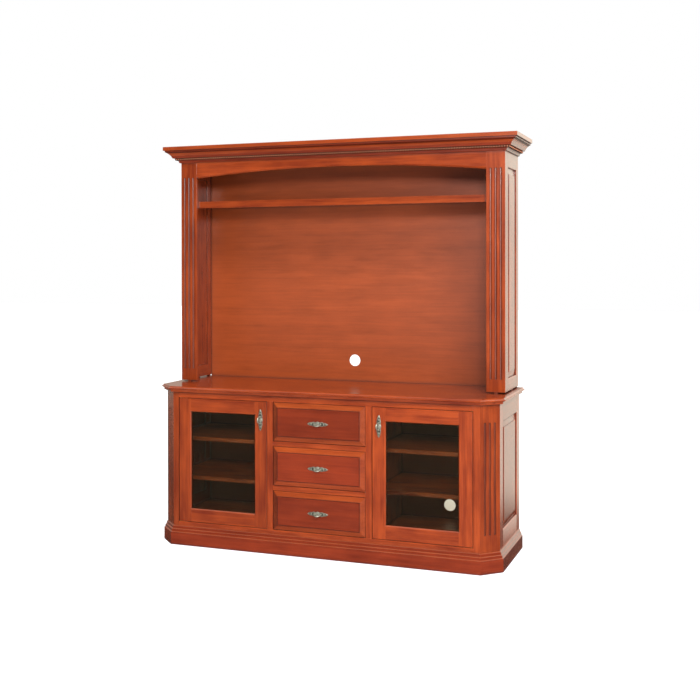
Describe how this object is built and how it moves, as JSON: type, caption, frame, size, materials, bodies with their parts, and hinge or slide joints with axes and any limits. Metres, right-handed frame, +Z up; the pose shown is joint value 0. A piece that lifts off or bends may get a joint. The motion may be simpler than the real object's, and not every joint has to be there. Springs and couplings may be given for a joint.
{
  "type": "tv armoire",
  "caption": "Tall wooden television armoire: canted console with glass doors and drawers under an open hutch with fluted pilasters, an arched rail and a cove crown.",
  "frame": {"origin": "on the floor, under the middle of the whole piece with its pulls and mouldings", "axes": "+X to the viewer's right, +Y from the front to the back, +Z up"},
  "size_m": [1.9692, 0.6016, 2.1449],
  "materials": {
    "lacquered_cherry": "gloss lacquer on orange-red cherry",
    "interior_cherry": "satin lacquer",
    "back_plywood": "stained plywood",
    "drawer_maple": "clear satin lacquer",
    "glass": "dark tinted",
    "pewter": "antiqued cast pewter",
    "slide_steel": "zinc plated",
    "hinge_brass": "satin",
    "dark_plastic": "matt"
  },
  "bodies": {
    "case": {"cabinet_slides": "slide_steel", "console_back": "back_plywood", "console_deck": "interior_cherry", "console_side_frame_left": "lacquered_cherry", "console_side_frame_right": "lacquered_cherry", "console_side_panels": "lacquered_cherry", "console_top": "lacquered_cherry", "crown_bead_strip": "lacquered_cherry", "crown_front": "lacquered_cherry", "crown_returns": "lacquered_cherry", "door_catches": "dark_plastic", "drawer_rails": "lacquered_cherry", "face_bottom_rail": "lacquered_cherry", "face_mullions": "lacquered_cherry", "face_stiles": "lacquered_cherry", "face_top_rail": "lacquered_cherry", "fluted_post_left": "lacquered_cherry", "fluted_post_right": "lacquered_cherry", "hinge_plates_fixed": "hinge_brass", "hutch_arched_rail": "lacquered_cherry", "hutch_back": "back_plywood", "hutch_feet": "lacquered_cherry", "hutch_pilaster_left": "lacquered_cherry", "hutch_pilaster_right": "lacquered_cherry", "hutch_shelf": "lacquered_cherry", "hutch_shelf_nosing": "lacquered_cherry", "hutch_side_frame_left": "lacquered_cherry", "hutch_side_frame_right": "lacquered_cherry", "hutch_side_panels": "lacquered_cherry", "hutch_top_board": "lacquered_cherry", "partition_left": "interior_cherry", "partition_right": "interior_cherry", "plinth_front": "lacquered_cherry", "plinth_rear_rail": "interior_cherry", "plinth_returns": "lacquered_cherry", "shelf_cleats": "interior_cherry", "shelves_left": "interior_cherry", "shelves_right": "interior_cherry"},
    "drawer_top": {"drawer_top_box": "drawer_maple", "drawer_top_front": "lacquered_cherry", "drawer_top_pull": "pewter", "drawer_top_slides": "slide_steel"},
    "drawer_middle": {"drawer_middle_box": "drawer_maple", "drawer_middle_front": "lacquered_cherry", "drawer_middle_pull": "pewter", "drawer_middle_slides": "slide_steel"},
    "drawer_bottom": {"drawer_bottom_box": "drawer_maple", "drawer_bottom_front": "lacquered_cherry", "drawer_bottom_pull": "pewter", "drawer_bottom_slides": "slide_steel"},
    "door_left": {"door_left_frame": "lacquered_cherry", "door_left_glass": "glass", "door_left_glass_stops": "lacquered_cherry", "door_left_hinge_plates": "hinge_brass", "door_left_pull": "pewter"},
    "door_right": {"door_right_frame": "lacquered_cherry", "door_right_glass": "glass", "door_right_glass_stops": "lacquered_cherry", "door_right_hinge_plates": "hinge_brass", "door_right_pull": "pewter"}
  },
  "joints": [
    {"name": "drawer_top_slide", "type": "slide", "parent": "case", "child": "drawer_top", "axis": [0, -1, 0], "range_m": [0, 0.34]},
    {"name": "drawer_middle_slide", "type": "slide", "parent": "case", "child": "drawer_middle", "axis": [0, -1, 0], "range_m": [0, 0.34]},
    {"name": "drawer_bottom_slide", "type": "slide", "parent": "case", "child": "drawer_bottom", "axis": [0, -1, 0], "range_m": [0, 0.34]},
    {"name": "door_left_hinge", "type": "hinge", "parent": "case", "child": "door_left", "pos_m": [-0.7935, -0.26023, 0.4539], "axis": [0, 0, -1], "range_deg": [0, 105]},
    {"name": "door_right_hinge", "type": "hinge", "parent": "case", "child": "door_right", "pos_m": [0.7935, -0.26023, 0.4539], "axis": [0, 0, 1], "range_deg": [0, 105]}
  ]
}
